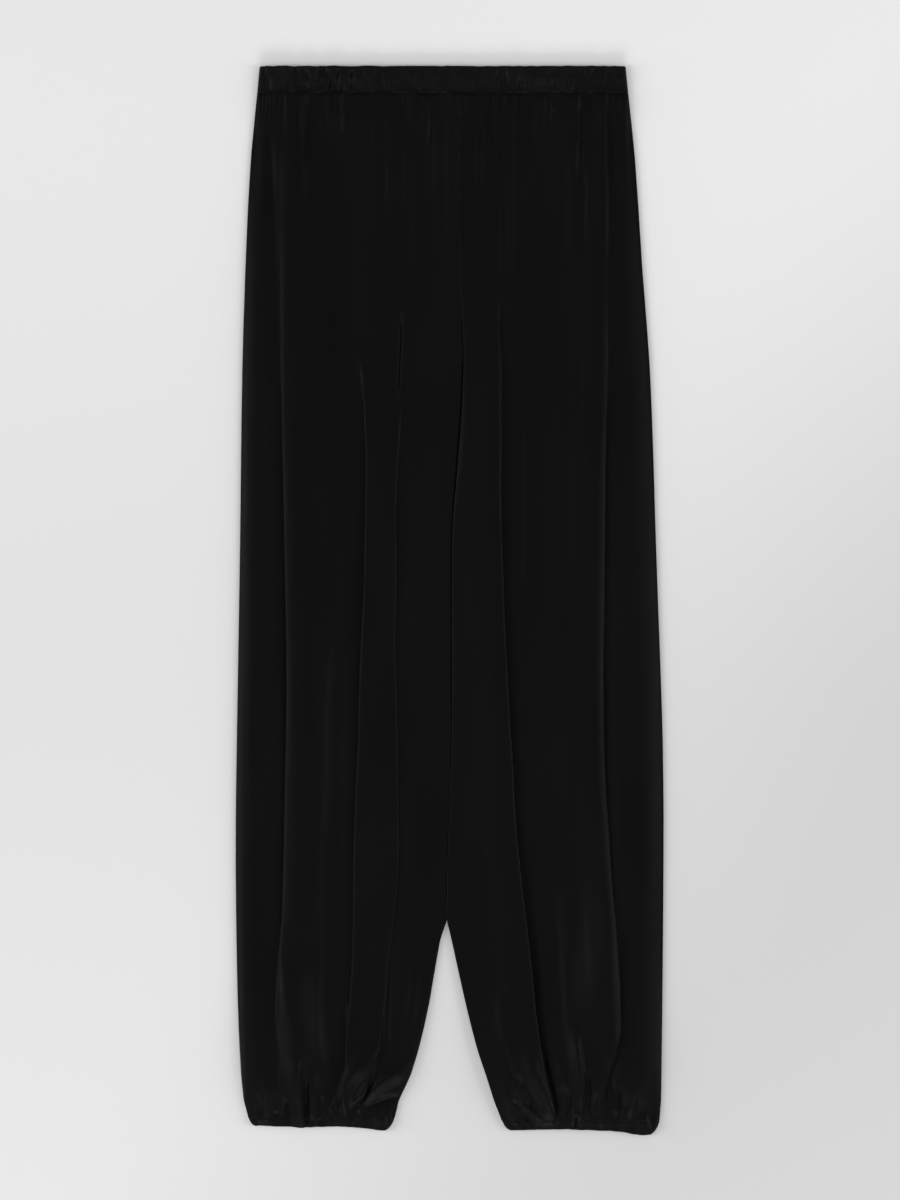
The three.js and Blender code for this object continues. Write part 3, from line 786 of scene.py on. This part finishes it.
def front_points(side, rows, per_mm):
    """Grid of points on a front: height over X and drop, let down to the seams, crests pushed over."""
    first, last = BAND_DROP + SEAM_GAP, LEGS[side]["hem_drop"] - 0.02
    drop = rows_of_panel(first, last, rows)
    crests = [fold_x(fold, drop) for fold in FOLDS[side] if fold["lean"] >= GUIDING_LEAN]
    x, lift = columns_of_leg(side, drop, CLOTH_HALF, crests, per_mm)
    drop = np.broadcast_to(drop[:, None], x.shape)
    z, push = front_height(side, x, drop)
    seam = np.full_like(z, SEAM_Z + CLOTH_HALF)
    inner = inner_half(side, x.shape[1])
    seam[:, inner] = mix(z - CENTRE_SEAM_DEPTH, seam, parting(drop))[:, inner]
    z = mix(seam, z, lift)
    low, high = x[:, :1], x[:, -1:]
    push = push * smooth(0, EDGE_HOLDS, np.minimum(x - low, high - x))
    if side == "left":
        push = push - OVERHANG * parting(drop) * bump(x - low - 1.5, 1.5, 10)
    return np.stack([x + push, WAIST_Y - drop, z], axis=2)


FRONTS = {}
for side in SIDES:
    points = front_points(side, rows=245, per_mm=0.8)
    FRONTS[side] = add_piece(f"front_{side}_cloth", points, CLOTH_HALF, [f"front_{side}"])

# %% [markdown]
# ## The back panels
#
# The back lies on the floor, so its underside is flat but for the few places where spare cloth has
# bent up off it. Those are the back's own gathers and folds, low and rounded, and they stay under
# the front.

# %% The back panels
# Height, width, line of X and drop.
BACK_CREASES = {
    "right": [
        (1.3, 9, [(-170, 60), (-168, 300), (-172, 620), (-176, 900), (-170, 1046)]),
        (1.1, 7, [(-128, 24), (-124, 160), (-126, 380), (-131, 520)]),
        (1.4, 9, [(-96, 420), (-98, 640), (-108, 860), (-120, 1040)]),
        (1, 6, [(-62, 24), (-60, 120), (-63, 260)]),
        (1.3, 8, [(-40, 250), (-38, 420), (-44, 640), (-58, 860), (-84, 1040)]),
        (0.9, 6, [(-22, 26), (-24, 90), (-22, 180)]),
        (1, 7, [(-146, 700), (-148, 850), (-146, 1040)]),
        (0.9, 6, [(-96, 24), (-98, 80), (-97, 150)]),
    ],
    "left": [
        (1.3, 9, [(166, 50), (172, 300), (176, 600), (178, 880), (172, 1048)]),
        (1.1, 7, [(130, 24), (134, 140), (132, 330), (136, 460)]),
        (1.4, 9, [(108, 380), (112, 600), (122, 830), (138, 1044)]),
        (1, 6, [(84, 24), (82, 130), (86, 290)]),
        (1.3, 8, [(50, 280), (54, 460), (60, 660), (76, 880), (96, 1044)]),
        (0.9, 6, [(36, 24), (34, 90), (37, 200)]),
        (0.9, 6, [(60, 24), (62, 70), (60, 140)]),
        (0.9, 6, [(146, 860), (152, 960), (154, 1046)]),
    ],
}
BACK_HIGHEST = 1.6
# The same columns as for the gathers of the front.
BACK_WAIST_GATHERS = [(21, 1, 60, 5, 50, 0, False), (23, 0.6, 160, 11, 140, 0, False)]
BACK_HEM_GATHERS = [(22, 1, 30, 5, 24, 0, False)]


def back_height(side, x, drop):
    """How far the back's underside is off the floor: creases and the upper halves of fine gathers."""
    below, above = from_elastics(side, drop)
    gathers = faded(BACK_WAIST_GATHERS, x, drop, below) + faded(BACK_HEM_GATHERS, x, drop, above)
    z = creases(BACK_CREASES[side], x, drop) + 1.1 * np.maximum(gathers, 0) ** 1.5
    return BACK_HIGHEST * np.tanh(z / BACK_HIGHEST)


def back_points(side, rows, per_mm):
    """Grid of points on a back: low creases inside, a quarter ellipse up to the seams at the edges."""
    first, last = BAND_DROP + SEAM_GAP, LEGS[side]["hem_drop"] - SEAM_GAP
    drop = rows_of_panel(first, last, rows)
    x, lift = columns_of_leg(side, drop, CLOTH_HALF, [], per_mm)
    drop = np.broadcast_to(drop[:, None], x.shape)
    z = back_height(side, x, drop) + CLOTH_HALF
    seam = np.full_like(z, SEAM_Z - CLOTH_HALF)
    inner = inner_half(side, x.shape[1])
    seam[:, inner] = mix(z + 0.5, seam, parting(drop))[:, inner]
    return np.stack([x, WAIST_Y - drop, mix(seam, z, lift)], axis=2)


BACKS = {}
for side in SIDES:
    points = back_points(side, rows=200, per_mm=0.5)
    BACKS[side] = add_piece(f"back_{side}_cloth", points, CLOTH_HALF, [f"back_{side}"])

# %% [markdown]
# ## The waistband
#
# The waistband is a strip of the same crepe folded over wide elastic. The elastic draws it up, so
# its face is ruched: close upright ridges, a little slanted, deeper in some places than in others.
# It is a thicker wall with a rounded top edge, and is nipped thinner at the seam below. The larger
# ridges and hollows are listed one by one.

# %% The waistband
BAND_HALF = 1.1
BAND_SEAM_Z = 3.45
BAND_END_ROUND = 2.6
SCALLOP = 0.35
# Height, width, line of X and drop.
BAND_RIDGES = [
    (0.9, 3, [(-139, 2), (-138.4, 12), (-140, 24)]),
    (0.8, 3, [(-84, 2), (-83.6, 12), (-84.4, 26)]),
    (0.9, 3.4, [(-64, 3), (-63.6, 12), (-62.6, 25)]),
    (0.9, 3.6, [(-32, 3), (-31.6, 12), (-31, 25)]),
    (-0.8, 2.8, [(-122, 3), (-123.6, 12), (-125.4, 24)]),
    (-0.8, 3, [(-112, 3), (-113.6, 12), (-115, 24)]),
    (-0.8, 3, [(-98, 2), (-98.6, 12), (-99.4, 24)]),
    (-0.8, 2.6, [(-61, 5), (-60.8, 12), (-60, 22)]),
    (0.8, 2.4, [(87, 6), (87.4, 14), (87, 22)]),
    (-0.9, 2.2, [(90.4, 5), (90.6, 14), (90.2, 23)]),
    (0.8, 2.4, [(94, 6), (94, 14), (93.4, 22)]),
    (-0.7, 2.6, [(24.4, 3), (24.4, 12), (25, 25)]),
    (-0.7, 2.6, [(40.4, 2), (40.4, 12), (40, 22)]),
    (-0.8, 2.6, [(57.4, 4), (57.4, 12), (58, 24)]),
    (-0.7, 2.6, [(70.4, 3), (70.4, 12), (70, 24)]),
    (0.7, 5, [(120, 10), (121, 18), (120, 26)]),
    (0.6, 6, [(-176, 4), (-176, 14), (-176, 26)]),
]


def ruching(x, drop, seed):
    """Close slanted ridges, narrow ones among broader ones, higher near the right side seam."""
    uneven = 0.75 + 0.35 * ripples(seed, x, drop, 40, 60)
    fine = 0.85 * creased(ripples(seed + 1, x + 0.12 * drop, drop, 3.4, 13))
    broad = 1.1 * ripples(seed + 2, x - 0.08 * drop, drop, 7, 16)
    return uneven * (fine + broad) * mix(1.6, 1, smooth(-125, -100, x))


def casing_rows(depth, half, count, nip):
    """Distances down a casing, closer together at both ends, and half its thickness at each.

    The thickness is an ellipse's at the folded edge, root(1 - 0.94 t^2), and the nip's at the seam,
    root(1 - nip t^2), where t falls from 1 at that end to 0 about half a thickness away.
    """
    angle = np.linspace(0, np.pi, count)
    s = mix((1 - np.cos(angle)) / 2, angle / np.pi, 0.55)
    down = s * depth
    top = np.clip(down / half, 0, 1)
    bottom = np.clip((depth - down) / (0.8 * half), 0, 1)
    return down, half * np.sqrt(1 - 0.94 * (1 - top) ** 2) * np.sqrt(1 - nip * (1 - bottom) ** 2)


def columns_of_casing(low, high, half, round_off, count):
    """X of every column of a casing, evenly spaced between its round ends, and the lift of each."""
    low, high = low[:, None] + half, high[:, None] - half
    middle = np.linspace(0, 1, count) * (high - low - 2 * round_off) + low + round_off
    return with_round_ends(low, high, round_off, round_off, middle)


def band_points(face, rows, columns):
    """Grid of points on half of the waistband: its height plus ruching, let down to the side seams."""
    down, half = casing_rows(BAND_DROP, BAND_HALF, rows, nip=0.5)
    low, high = edges_at(f"waistband_{face}", np.linspace(0.3, BAND_DROP - 0.3, 5))
    read = np.linspace(0, BAND_DROP, 5)
    low, high = through(read, low, down), through(read, high, down)
    x, lift = columns_of_casing(low, high, BAND_HALF, BAND_END_ROUND, columns)
    drop = np.broadcast_to(down[:, None], x.shape)
    if face == "front":
        z = BAND_FRONT_Z + ruching(x, drop, 31) + creases(BAND_RIDGES, x, drop)
        seam = BAND_SEAM_Z + SEAM_GAP / 2
    else:
        pinch = bump(drop - BAND_DROP, 1.6, 4)
        z = BAND_HALF + 0.9 * np.maximum(ruching(x, drop, 41), 0) + 0.3 * pinch
        seam = BAND_SEAM_Z - SEAM_GAP / 2
    scallop = SCALLOP * (ripples(33, x, drop, 6, 400) * bump(drop, 6, 6) - 1)
    return np.stack([x, WAIST_Y - drop + scallop, mix(seam, z, lift)], axis=2), half[:, None]


BANDS, SEWN = {}, {}
for face, columns in (("front", 300), ("back", 200)):
    points, half = band_points(face, rows=40, columns=columns)
    BANDS[face] = add_piece(f"waistband_{face}_cloth", points, half, [f"waistband_{face}"])
    if face == "front":
        SEWN["waistband"] = points, half, BAND_DROP - 2.2

# %% [markdown]
# ## The hems
#
# Each leg ends in a narrow casing with a thin elastic in it. It is made as the waistband is, but it
# reads the same creases as the panel above it, so that each pinch runs on into the elastic. Its
# lower edge isn't straight: it wanders by a few millimetres and has round corners.

# %% The hems
HEM_HALF = 0.9
HEM_SEAM_Z = 3.1
HEM_END_ROUND = 2.6
HEM_DIPS = {"right": 3, "left": 5}
# X, and how far the lower edge hangs down there.
HEM_LINES = {
    "right": [(-200, -1.6), (-150, -0.2), (-84, 1.3), (-73, 2.9), (-60, 3.2)],
    "left": [(58, 0.2), (92, -0.6), (120, -0.8), (150, 0.6), (172, 1.8), (193, 5), (206, 4)],
}
HEM_CORNERS = {"right": {"low": 5, "high": 8}, "left": {"low": 6, "high": 9}}


def corner_inset(above_end, radius):
    """How far a round corner draws the edge in: r - root(r^2 - 0.96 d^2), d mm down the corner."""
    down = np.clip(radius - above_end, 0, radius)
    return radius - np.sqrt(radius**2 - 0.96 * down**2)


def hem_ends(side, share):
    """X of both ends of a hem, from its panel's last row to the hem's lower corners."""
    top = LEGS[side]["hem_drop"]
    upper = leg_edges(side, np.array([top]))
    at_plain = edges_at(f"hem_front_{side}", [top + HEM_DEPTH - 0.3])
    at_dip = edges_at(f"hem_front_{side}", [top + HEM_DEPTH + HEM_DIPS[side] - 0.4])
    low = mix(upper[0], at_plain[0], share)
    high = mix(upper[1], at_dip[1], share)
    above_end = (1 - share) * HEM_DEPTH
    corner = HEM_CORNERS[side]
    return low + corner_inset(above_end, corner["low"]), high - corner_inset(above_end, corner["high"])


def hem_points(side, face, rows, columns):
    """Grid of points on half of a hem: the panel's creases and fine ruching, let down to the seams."""
    down, half = casing_rows(HEM_DEPTH, HEM_HALF, rows, nip=0.15)
    down, half = HEM_DEPTH - down[::-1], half[::-1]
    share = down / HEM_DEPTH
    low, high = hem_ends(side, share)
    x, lift = columns_of_casing(low, high, HEM_HALF, HEM_END_ROUND, columns)
    line_x, line_drop = zip(*HEM_LINES[side])
    down, share = (np.broadcast_to(value[:, None], x.shape) for value in (down, share))
    drop = LEGS[side]["hem_drop"] + down
    pinch = bump(down, 2.4, 2.4)
    if face == "front":
        z = front_height(side, x, drop)[0] - (HEM_HALF - CLOTH_HALF)
        z = z + 0.4 * creased(ripples(51, x, drop, 2.6, 9)) - 0.12 * pinch
        seam = HEM_SEAM_Z + SEAM_GAP / 2
    else:
        z = HEM_HALF + 0.8 * np.maximum(ripples(52, x, drop, 4, 12), 0) + 0.2 * pinch
        seam = HEM_SEAM_Z - SEAM_GAP / 2
    drop = drop + share * (through(line_x, line_drop, x) + 0.3 * ripples(53, x, 0 * x, 7, 100))
    return np.stack([x, WAIST_Y - drop, mix(seam, z, lift)], axis=2), half[:, None]


HEMS = {}
for side in SIDES:
    for face, columns in (("front", 120), ("back", 90)):
        points, half = hem_points(side, face, rows=18, columns=columns)
        node = f"hem_{face}_{side}"
        HEMS[node] = add_piece(f"{node}_cloth", points, half, [node])
        if face == "front":
            SEWN[f"hem_{side}"] = points, half, LEGS[side]["hem_drop"] + 1.6

# %% [markdown]
# ## Stitches
#
# A row of stitches closes each casing. One stitch is a short bent bar of thread that dives into the
# cloth at both ends. It is worked out once and repeated along the seam by adding arrays, so that a
# whole row is one mesh.

# %% Rows of stitches
STITCH = {"long": 2.3, "pitch": 3.0, "thick": 0.42, "arch": 0.35, "from_seam": 5}


def stitch_shape():
    """One stitch along X: rings of six points on an arch, z = arch (1 - u^2), thinner at both ends."""
    u = np.array([-1, -0.6, 0, 0.6, 1])
    radius = STITCH["thick"] / 2 * np.array([0.55, 0.95, 1, 0.95, 0.55])
    angle = np.arange(6) * np.pi / 3
    ring = np.stack([np.zeros(6), np.cos(angle), np.sin(angle)], axis=1)
    centre = np.stack([u * STITCH["long"] / 2, 0 * u, STITCH["arch"] * (1 - u**2)], axis=1)
    points = (centre[:, None] + ring * radius[:, None, None]).reshape(-1, 3)
    faces = []
    for i in range(4):
        for k in range(6):
            m = (k + 1) % 6
            faces.append([6 * i + k, 6 * i + 6 + k, 6 * i + 6 + m, 6 * i + m])
    faces += [[0, 1, 2, 3], [0, 3, 4, 5], [27, 26, 25, 24], [29, 28, 27, 24]]
    return points, np.array(faces)


def add_stitches(name, x, drop, z, slope):
    """A row of stitches as one mesh: one shape, tilted by the cloth's slope and moved to each place."""
    shape, faces = stitch_shape()
    points = np.repeat(shape[None], len(x), axis=0)
    points[..., 2] += points[..., 0] * slope[:, None]
    points += np.stack([x, WAIST_Y - drop, z], axis=1)[:, None]
    faces = faces[None] + len(shape) * np.arange(len(x))[:, None, None]
    points = points.reshape(-1, 3)
    mesh = mesh_from(name, points, faces.reshape(-1, 4), points[:, :2] * MM)
    print(name, len(x), "stitches")
    return add_object(name, mesh)


def row_on(points, half, at_drop):
    """Evenly spaced places on top of a casing, along the row of its grid that is nearest to a drop."""
    middle = points[:, points.shape[1] // 2, 1]
    row = np.abs(WAIST_Y - middle - at_drop).argmin()
    line = wall(points, half)[0][row]
    margin = STITCH["from_seam"]
    x = np.arange(line[0, 0] + margin, line[-1, 0] - margin, STITCH["pitch"])
    z = np.interp(x, line[:, 0], line[:, 2])
    slope = (np.interp(x + 1, line[:, 0], line[:, 2]) - np.interp(x - 1, line[:, 0], line[:, 2])) / 2
    drop = WAIST_Y - np.interp(x, line[:, 0], line[:, 1])
    return x, drop, z, slope


STITCHES = {}
for casing, (points, half, at_drop) in SEWN.items():
    STITCHES[casing] = add_stitches(f"{casing}_stitches", *row_on(points, half, at_drop))

# %% [markdown]
# ## Black crepe
#
# Crepe is woven from hard-twisted yarn, so its face is a fine irregular pebble that scatters light:
# nearly matt, with a soft sheen where it turns away. Black cloth reflects less than a hundredth of
# the light, so the shader's own reflection has to be turned far down too. A small image of a weave
# would repeat. Noise on the cloth's own UV map, in metres, never does, and it follows the folds.
# The waistband and the hems get a paler copy of the crepe, a painted sheen, because ruched cloth
# shows more of its sheen.

# %% Parts of a material
def new_material(name):
    """A material with a plain shader, its nodes, its links and the shader."""
    material = bpy.data.materials.new(name)
    material.use_nodes = True
    tree = material.node_tree
    return material, tree.nodes, tree.links, tree.nodes["Principled BSDF"]


def greys(nodes, links, factor, positions, values):
    """A ramp between two greys, whose factor goes from the first position to the second."""
    ramp = nodes.new("ShaderNodeValToRGB")
    for element, position, grey in zip(ramp.color_ramp.elements, positions, values):
        element.position = position
        element.color = (grey, grey, grey, 1)
    links.new(factor, ramp.inputs["Fac"])
    return ramp.outputs["Color"]


def raised(nodes, links, height, distance, strength, normal=None):
    """A normal tilted by a height, which is this many metres at 1, on top of another normal."""
    bumps = nodes.new("ShaderNodeBump")
    bumps.inputs["Strength"].default_value = strength
    bumps.inputs["Distance"].default_value = distance
    links.new(height, bumps.inputs["Height"])
    if normal is not None:
        links.new(normal, bumps.inputs["Normal"])
    return bumps.outputs["Normal"]


# %% The crepe material
ROUGHNESS = 0.48
ROUGHNESS_VARIES = 0.08
DARKEST, PALEST = 0.0015, 0.0031


def crepe_material(name, grain, relief, sheen, level, paleness_and_painted_light):
    """Principled cloth: colour from two noises, roughness from one, bump from three.

    Grain is the pebbles to a metre, and relief is how high one stands, in metres. Level is how strong
    the shader's own reflection is, and paleness_and_painted_light how pale the cloth is drawn: 1 for
    the crepe's own black, more for a painted sheen.
    """
    material, nodes, links, shader = new_material(name)
    shader.inputs["Specular IOR Level"].default_value = level
    shader.inputs["Sheen Weight"].default_value = sheen
    shader.inputs["Sheen Roughness"].default_value = 0.3
    shader.inputs["Sheen Tint"].default_value = (1, 1, 1, 1)
    place = nodes.new("ShaderNodeUVMap")
    place.uv_map = "cloth"

    def noise(scale_across, scale_along, detail, label):
        """Noise on the cloth, with this many waves a metre across and along."""
        mapping = nodes.new("ShaderNodeMapping")
        mapping.inputs["Scale"].default_value = (scale_across, scale_along, 1)
        links.new(place.outputs["UV"], mapping.inputs["Vector"])
        texture = nodes.new("ShaderNodeTexNoise")
        texture.label = label
        texture.inputs["Scale"].default_value = 1
        texture.inputs["Detail"].default_value = detail
        links.new(mapping.outputs["Vector"], texture.inputs["Vector"])
        return texture.outputs["Fac"]

    pebbles = noise(grain, grain * 0.6, 2, "pebbles")
    yarns = noise(grain * 2.2, grain * 0.12, 1, "warp yarns")
    slubs = noise(130, 9, 3, "slubs")
    dye = noise(14, 5, 2, "dye")

    shade = nodes.new("ShaderNodeMix")
    shade.data_type = "FLOAT"
    shade.inputs["Factor"].default_value = 0.45
    links.new(dye, shade.inputs[2])
    links.new(pebbles, shade.inputs[3])
    colour = greys(nodes, links, shade.outputs[0], (0.3, 0.72), (DARKEST * paleness_and_painted_light, PALEST * paleness_and_painted_light))
    links.new(colour, shader.inputs["Base Color"])

    rough = nodes.new("ShaderNodeMapRange")
    rough.inputs["To Min"].default_value = ROUGHNESS - ROUGHNESS_VARIES
    rough.inputs["To Max"].default_value = ROUGHNESS + ROUGHNESS_VARIES
    links.new(slubs, rough.inputs["Value"])
    links.new(rough.outputs["Result"], shader.inputs["Roughness"])

    normal = None
    for height, distance in ((pebbles, relief), (yarns, relief * 0.6), (slubs, relief * 1.6)):
        normal = raised(nodes, links, height, distance, 0.8, normal)
    links.new(normal, shader.inputs["Normal"])
    return material


def thread_material(name):
    """Black thread: a little glossier than the cloth, its slanted plies a wave on Object coordinates."""
    material, nodes, links, shader = new_material(name)
    shader.inputs["Roughness"].default_value = 0.45
    shader.inputs["Specular IOR Level"].default_value = 0.04
    place = nodes.new("ShaderNodeTexCoord")
    ply = nodes.new("ShaderNodeTexWave")
    ply.bands_direction = "DIAGONAL"
    ply.inputs["Scale"].default_value = 900
    ply.inputs["Distortion"].default_value = 1.5
    links.new(place.outputs["Object"], ply.inputs["Vector"])
    colour = greys(nodes, links, ply.outputs["Fac"], (0, 1), (0.0022, 0.0045))
    links.new(colour, shader.inputs["Base Color"])
    normal = raised(nodes, links, ply.outputs["Fac"], 0.00008, 1)
    links.new(normal, shader.inputs["Normal"])
    return material


# %% Finishes for every piece
# Name, pebbles to a metre, height of one in metres, sheen, strength of the reflection, paleness,
# which above 1 is a painted sheen.
crepe = crepe_material("black_crepe", 2000, 0.00006, 0.075, 0.048, 1)
# The waistband and hem crepes are drawn paler than the black crepe: painted sheen.
band_crepe_painted_sheen = crepe_material("ruched_crepe_painted_sheen", 2200, 0.00007, 0.1, 0.058, 1.4)
hem_crepe = crepe_material("hem_crepe", 2200, 0.00007, 0.09, 0.055, 1.3)
thread = thread_material("black_thread")

for finish, made in ((crepe, FRONTS), (crepe, BACKS), (band_crepe_painted_sheen, BANDS), (hem_crepe, HEMS)):
    for piece, _ in made.values():
        piece.data.materials.append(finish)
for piece in STITCHES.values():
    piece.data.materials.append(thread)

# %% [markdown]
# ## What the cloth was cut to
#
# Each piece of cloth is measured along its folds for the flat size of what shows, because gathers
# and folds hide width, and add_piece prints it. The fronts rest on the backs, and the backs on the floor.

for side in SIDES:
    for face, made in (("front", FRONTS), ("back", BACKS)):
        piece, (width, length, area) = made[side]
for node, (piece, (width, length, area)) in HEMS.items():
    side = node.split("_")[-1]

# %% [markdown]
# ## Floor, light and camera
#
# Black cloth shows its folds only by what it reflects. Three low soft lights do most of the work.
# The one on the left gives the left-hand slopes of the folds their sheen, a weaker one on the right
# picks out the other edges, and one beyond the hems lights the pinches there. A faint light overhead
# and the pale surroundings fill the rest. The floor is a plain pale sheet with painted shade in its
# colour: it is darker to the lower right, as if the light fell off there, and two more gentle slopes
# make up for the lights being nearer to its edges.

# %% The floor
FLOOR_SIZE = 7.0
FLOOR_Z = -0.0003
TO_LOWER_RIGHT = (0.81, -0.587, 0)


def painted_shade_slope(nodes, links, place, low, high, at_low, at_high, soft=True):
    """A factor that goes from one value to another between two places, in metres."""
    slope = nodes.new("ShaderNodeMapRange")
    slope.interpolation_type = "SMOOTHSTEP" if soft else "LINEAR"
    for socket, value in zip(("From Min", "From Max", "To Min", "To Max"), (low, high, at_low, at_high)):
        slope.inputs[socket].default_value = value
    links.new(place, slope.inputs["Value"])
    return slope.outputs["Result"]


def paper_with_painted_shade(name):
    """Matt pale paper. Painted shade: its grey is a product of slopes along X, to the lower right, along
    Y.
    """
    material, nodes, links, shader = new_material(name)
    shader.inputs["Roughness"].default_value = 0.9
    shader.inputs["Specular IOR Level"].default_value = 0.1
    place = nodes.new("ShaderNodeTexCoord").outputs["Object"]
    slanted = nodes.new("ShaderNodeVectorMath")
    slanted.operation = "DOT_PRODUCT"
    slanted.inputs[1].default_value = TO_LOWER_RIGHT
    links.new(place, slanted.inputs[0])
    split = nodes.new("ShaderNodeSeparateXYZ")
    links.new(place, split.inputs["Vector"])
    # Painted shade: darker on the left against the stronger left light, darker to the lower right as if
    # the light fell off, and darker near the hems against the hem light.
    paleness_and_painted_light = painted_shade_slope(nodes, links, split.outputs["X"], -0.45, 0.45, 0.735, 0.78, soft=False)
    for factor in (
        painted_shade_slope(nodes, links, slanted.outputs["Value"], -0.02, 0.52, 1, 0.81),
        painted_shade_slope(nodes, links, split.outputs["Y"], -0.15, 0.62, 0.85, 0.985),
    ):
        product = nodes.new("ShaderNodeMath")
        product.operation = "MULTIPLY"
        links.new(paleness_and_painted_light, product.inputs[0])
        links.new(factor, product.inputs[1])
        paleness_and_painted_light = product.outputs["Value"]
    links.new(paleness_and_painted_light, shader.inputs["Base Color"])
    return material


floor_mesh = bpy.data.meshes.new("floor")
corners = FLOOR_SIZE / 2 * np.array([(-1, -1), (1, -1), (1, 1), (-1, 1)])
floor_mesh.from_pydata([(x, y, FLOOR_Z) for x, y in corners], [], [(0, 1, 2, 3)])
floor_mesh.materials.append(paper_with_painted_shade("pale_paper_painted_shade"))
floor = bpy.data.objects.new("floor", floor_mesh)
bpy.context.scene.collection.objects.link(floor)
floor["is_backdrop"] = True


# %% The lights
def soft_light(name, place, size, watts):
    """A rectangular area light that points at the origin and isn't seen itself."""
    data = bpy.data.lights.new(name, "AREA")
    data.shape = "RECTANGLE"
    data.size, data.size_y = size
    data.energy = watts
    light = bpy.data.objects.new(name, data)
    light.location = place
    light.rotation_mode = "QUATERNION"
    light.rotation_quaternion = (Vector() - Vector(place)).to_track_quat("-Z", "Y")
    light.visible_camera = False
    bpy.context.scene.collection.objects.link(light)


soft_light("overhead", (-0.3, 0.4, 3.3), (2.4, 2.4), 6)
soft_light("left_side", (-3.4, -0.15, 1.6), (1.2, 3.2), 92)
soft_light("right_side", (3.4, -0.15, 1.6), (1.2, 3.2), 74)
soft_light("hem_side", (0, -3.6, 1.7), (3.2, 1.2), 104)

world = bpy.data.worlds.new("studio")
world.use_nodes = True
surroundings = world.node_tree.nodes["Background"]
surroundings.inputs["Color"].default_value = (0.87, 0.87, 0.87, 1)
surroundings.inputs["Strength"].default_value = 0.5
bpy.context.scene.world = world
bpy.context.scene.view_settings.view_transform = "Standard"

# %% [markdown]
# ## Camera
#
# The camera looks straight down. A long lens from almost 3 metres keeps the high folds from leaning
# outwards. The view is 1.2 m high, and this longer side of it is the sensor's 36 mm.

# %% The camera
FRAME_HEIGHT = 1.2
LENS = 85
SENSOR = 36
TOP_OF_CLOTH = 0.004
AIM = (0.0004, 0.0005)
camera_data = bpy.data.cameras.new("camera")
camera_data.lens = LENS
camera_data.sensor_width = SENSOR
camera_data.clip_end = 50
camera = bpy.data.objects.new("camera", camera_data)
camera.location = (*AIM, FRAME_HEIGHT * LENS / SENSOR + TOP_OF_CLOTH)
bpy.context.scene.collection.objects.link(camera)
bpy.context.scene.camera = camera
print("camera", round(camera.location.z, 3), "m above the floor")

# %% Measure what is drawn and finish
low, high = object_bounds()
print("visual box, mm:", [round((b - a) / MM, 1) for a, b in zip(low, high)])
